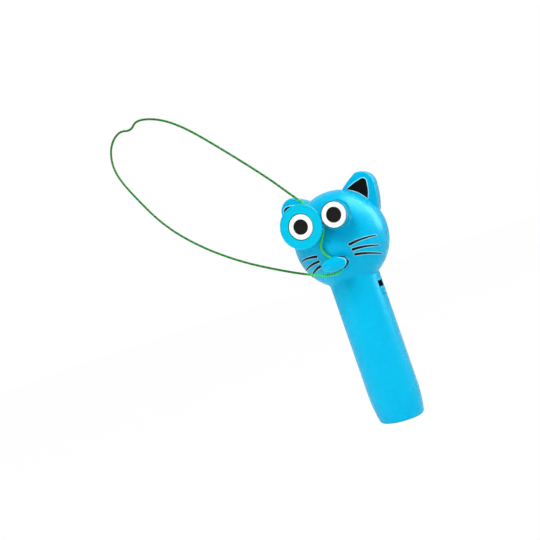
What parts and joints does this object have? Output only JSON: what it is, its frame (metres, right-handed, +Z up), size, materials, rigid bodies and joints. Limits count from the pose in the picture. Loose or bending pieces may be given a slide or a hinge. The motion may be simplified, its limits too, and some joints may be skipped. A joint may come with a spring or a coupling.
{
  "type": "string launcher cat toy",
  "caption": "Hand-held cat toy shaped like a cat's head on a handle, whose driven eye wheels throw a string loop that circles past the mouth.",
  "frame": {"origin": "centre of the flat foot at the end of the handle", "axes": "+Z up along the handle to the head, the face and its wheels look along -Y, +X is to the right of someone who faces the cat"},
  "size_m": [0.171, 0.0513, 0.2523],
  "materials": {
    "blue_casing": "glossy sky blue",
    "blue_wheel": "glossy sky blue",
    "black_plastic": "near black",
    "eye_white": "white",
    "pale_gear": "natural",
    "inner_plastic": "natural",
    "switch_dark": "dark grey",
    "steel": "bright",
    "bush_brass": "plain",
    "cell_sleeve": "dark grey sleeve, plain",
    "string_green": "bright green cord",
    "wire_red": "red insulation",
    "wire_black": "black insulation"
  },
  "bodies": {
    "casing": {"front_shell": "blue_casing", "rear_shell": "blue_casing", "lip_guide": "blue_casing", "right_ear_insert": "black_plastic", "left_ear_insert": "black_plastic", "right_whiskers": "black_plastic", "left_whiskers": "black_plastic", "lip_screw": "steel", "case_screws": "steel", "plate_screws": "steel", "left_cell": "cell_sleeve", "right_cell": "cell_sleeve", "lower_contact": "steel", "left_upper_contact": "steel", "right_upper_contact": "steel", "switch_body": "switch_dark", "gear_plate": "inner_plastic", "left_bush": "bush_brass", "right_bush": "bush_brass", "idler_pin": "steel", "motor_can": "steel", "motor_cap": "inner_plastic", "motor_terminals": "steel", "string": "string_green", "switch_wire": "wire_red", "motor_wire": "wire_red", "return_wire": "wire_black"},
    "left_wheel": {"left_flange": "blue_wheel", "left_drum": "blue_wheel", "left_eye": "eye_white", "left_pupil": "black_plastic", "left_shaft": "steel", "left_gear": "pale_gear"},
    "right_wheel": {"right_drum": "blue_wheel", "right_eye": "eye_white", "right_pupil": "black_plastic", "right_shaft": "steel", "right_gear": "pale_gear"},
    "rotor": {"motor_shaft": "steel", "motor_pinion": "pale_gear"},
    "idler": {"idler_gear": "pale_gear"},
    "slider": {"switch_knob": "blue_casing"},
    "door": {"battery_door": "blue_casing", "door_screw": "steel"}
  },
  "joints": [
    {"name": "left_wheel_spin", "type": "hinge", "parent": "casing", "child": "left_wheel", "pos_m": [-0.0117, 0, 0.1408], "axis": [0, 1, 0], "continuous": true},
    {"name": "right_wheel_spin", "type": "hinge", "parent": "casing", "child": "right_wheel", "pos_m": [0.0117, 0, 0.1408], "axis": [0, 1, 0], "continuous": true},
    {"name": "motor_spin", "type": "hinge", "parent": "casing", "child": "rotor", "pos_m": [-0.00468, 0, 0.13182], "axis": [0, 1, 0], "continuous": true},
    {"name": "idler_spin", "type": "hinge", "parent": "casing", "child": "idler", "pos_m": [0.00369, 0, 0.13108], "axis": [0, 1, 0], "continuous": true},
    {"name": "switch_slide", "type": "slide", "parent": "casing", "child": "slider", "axis": [0, 0, 1], "range_m": [0, 0.0039]},
    {"name": "door_hinge", "type": "hinge", "parent": "casing", "child": "door", "pos_m": [0, 0.0144, 0.0082], "axis": [-1, 0, 0], "range_deg": [0, 50]}
  ],
  "couplings": [
    {"joint": "right_wheel_spin", "follows": "left_wheel_spin", "ratio": -1},
    {"joint": "motor_spin", "follows": "left_wheel_spin", "ratio": -2.1667},
    {"joint": "idler_spin", "follows": "left_wheel_spin", "ratio": 1.625}
  ]
}
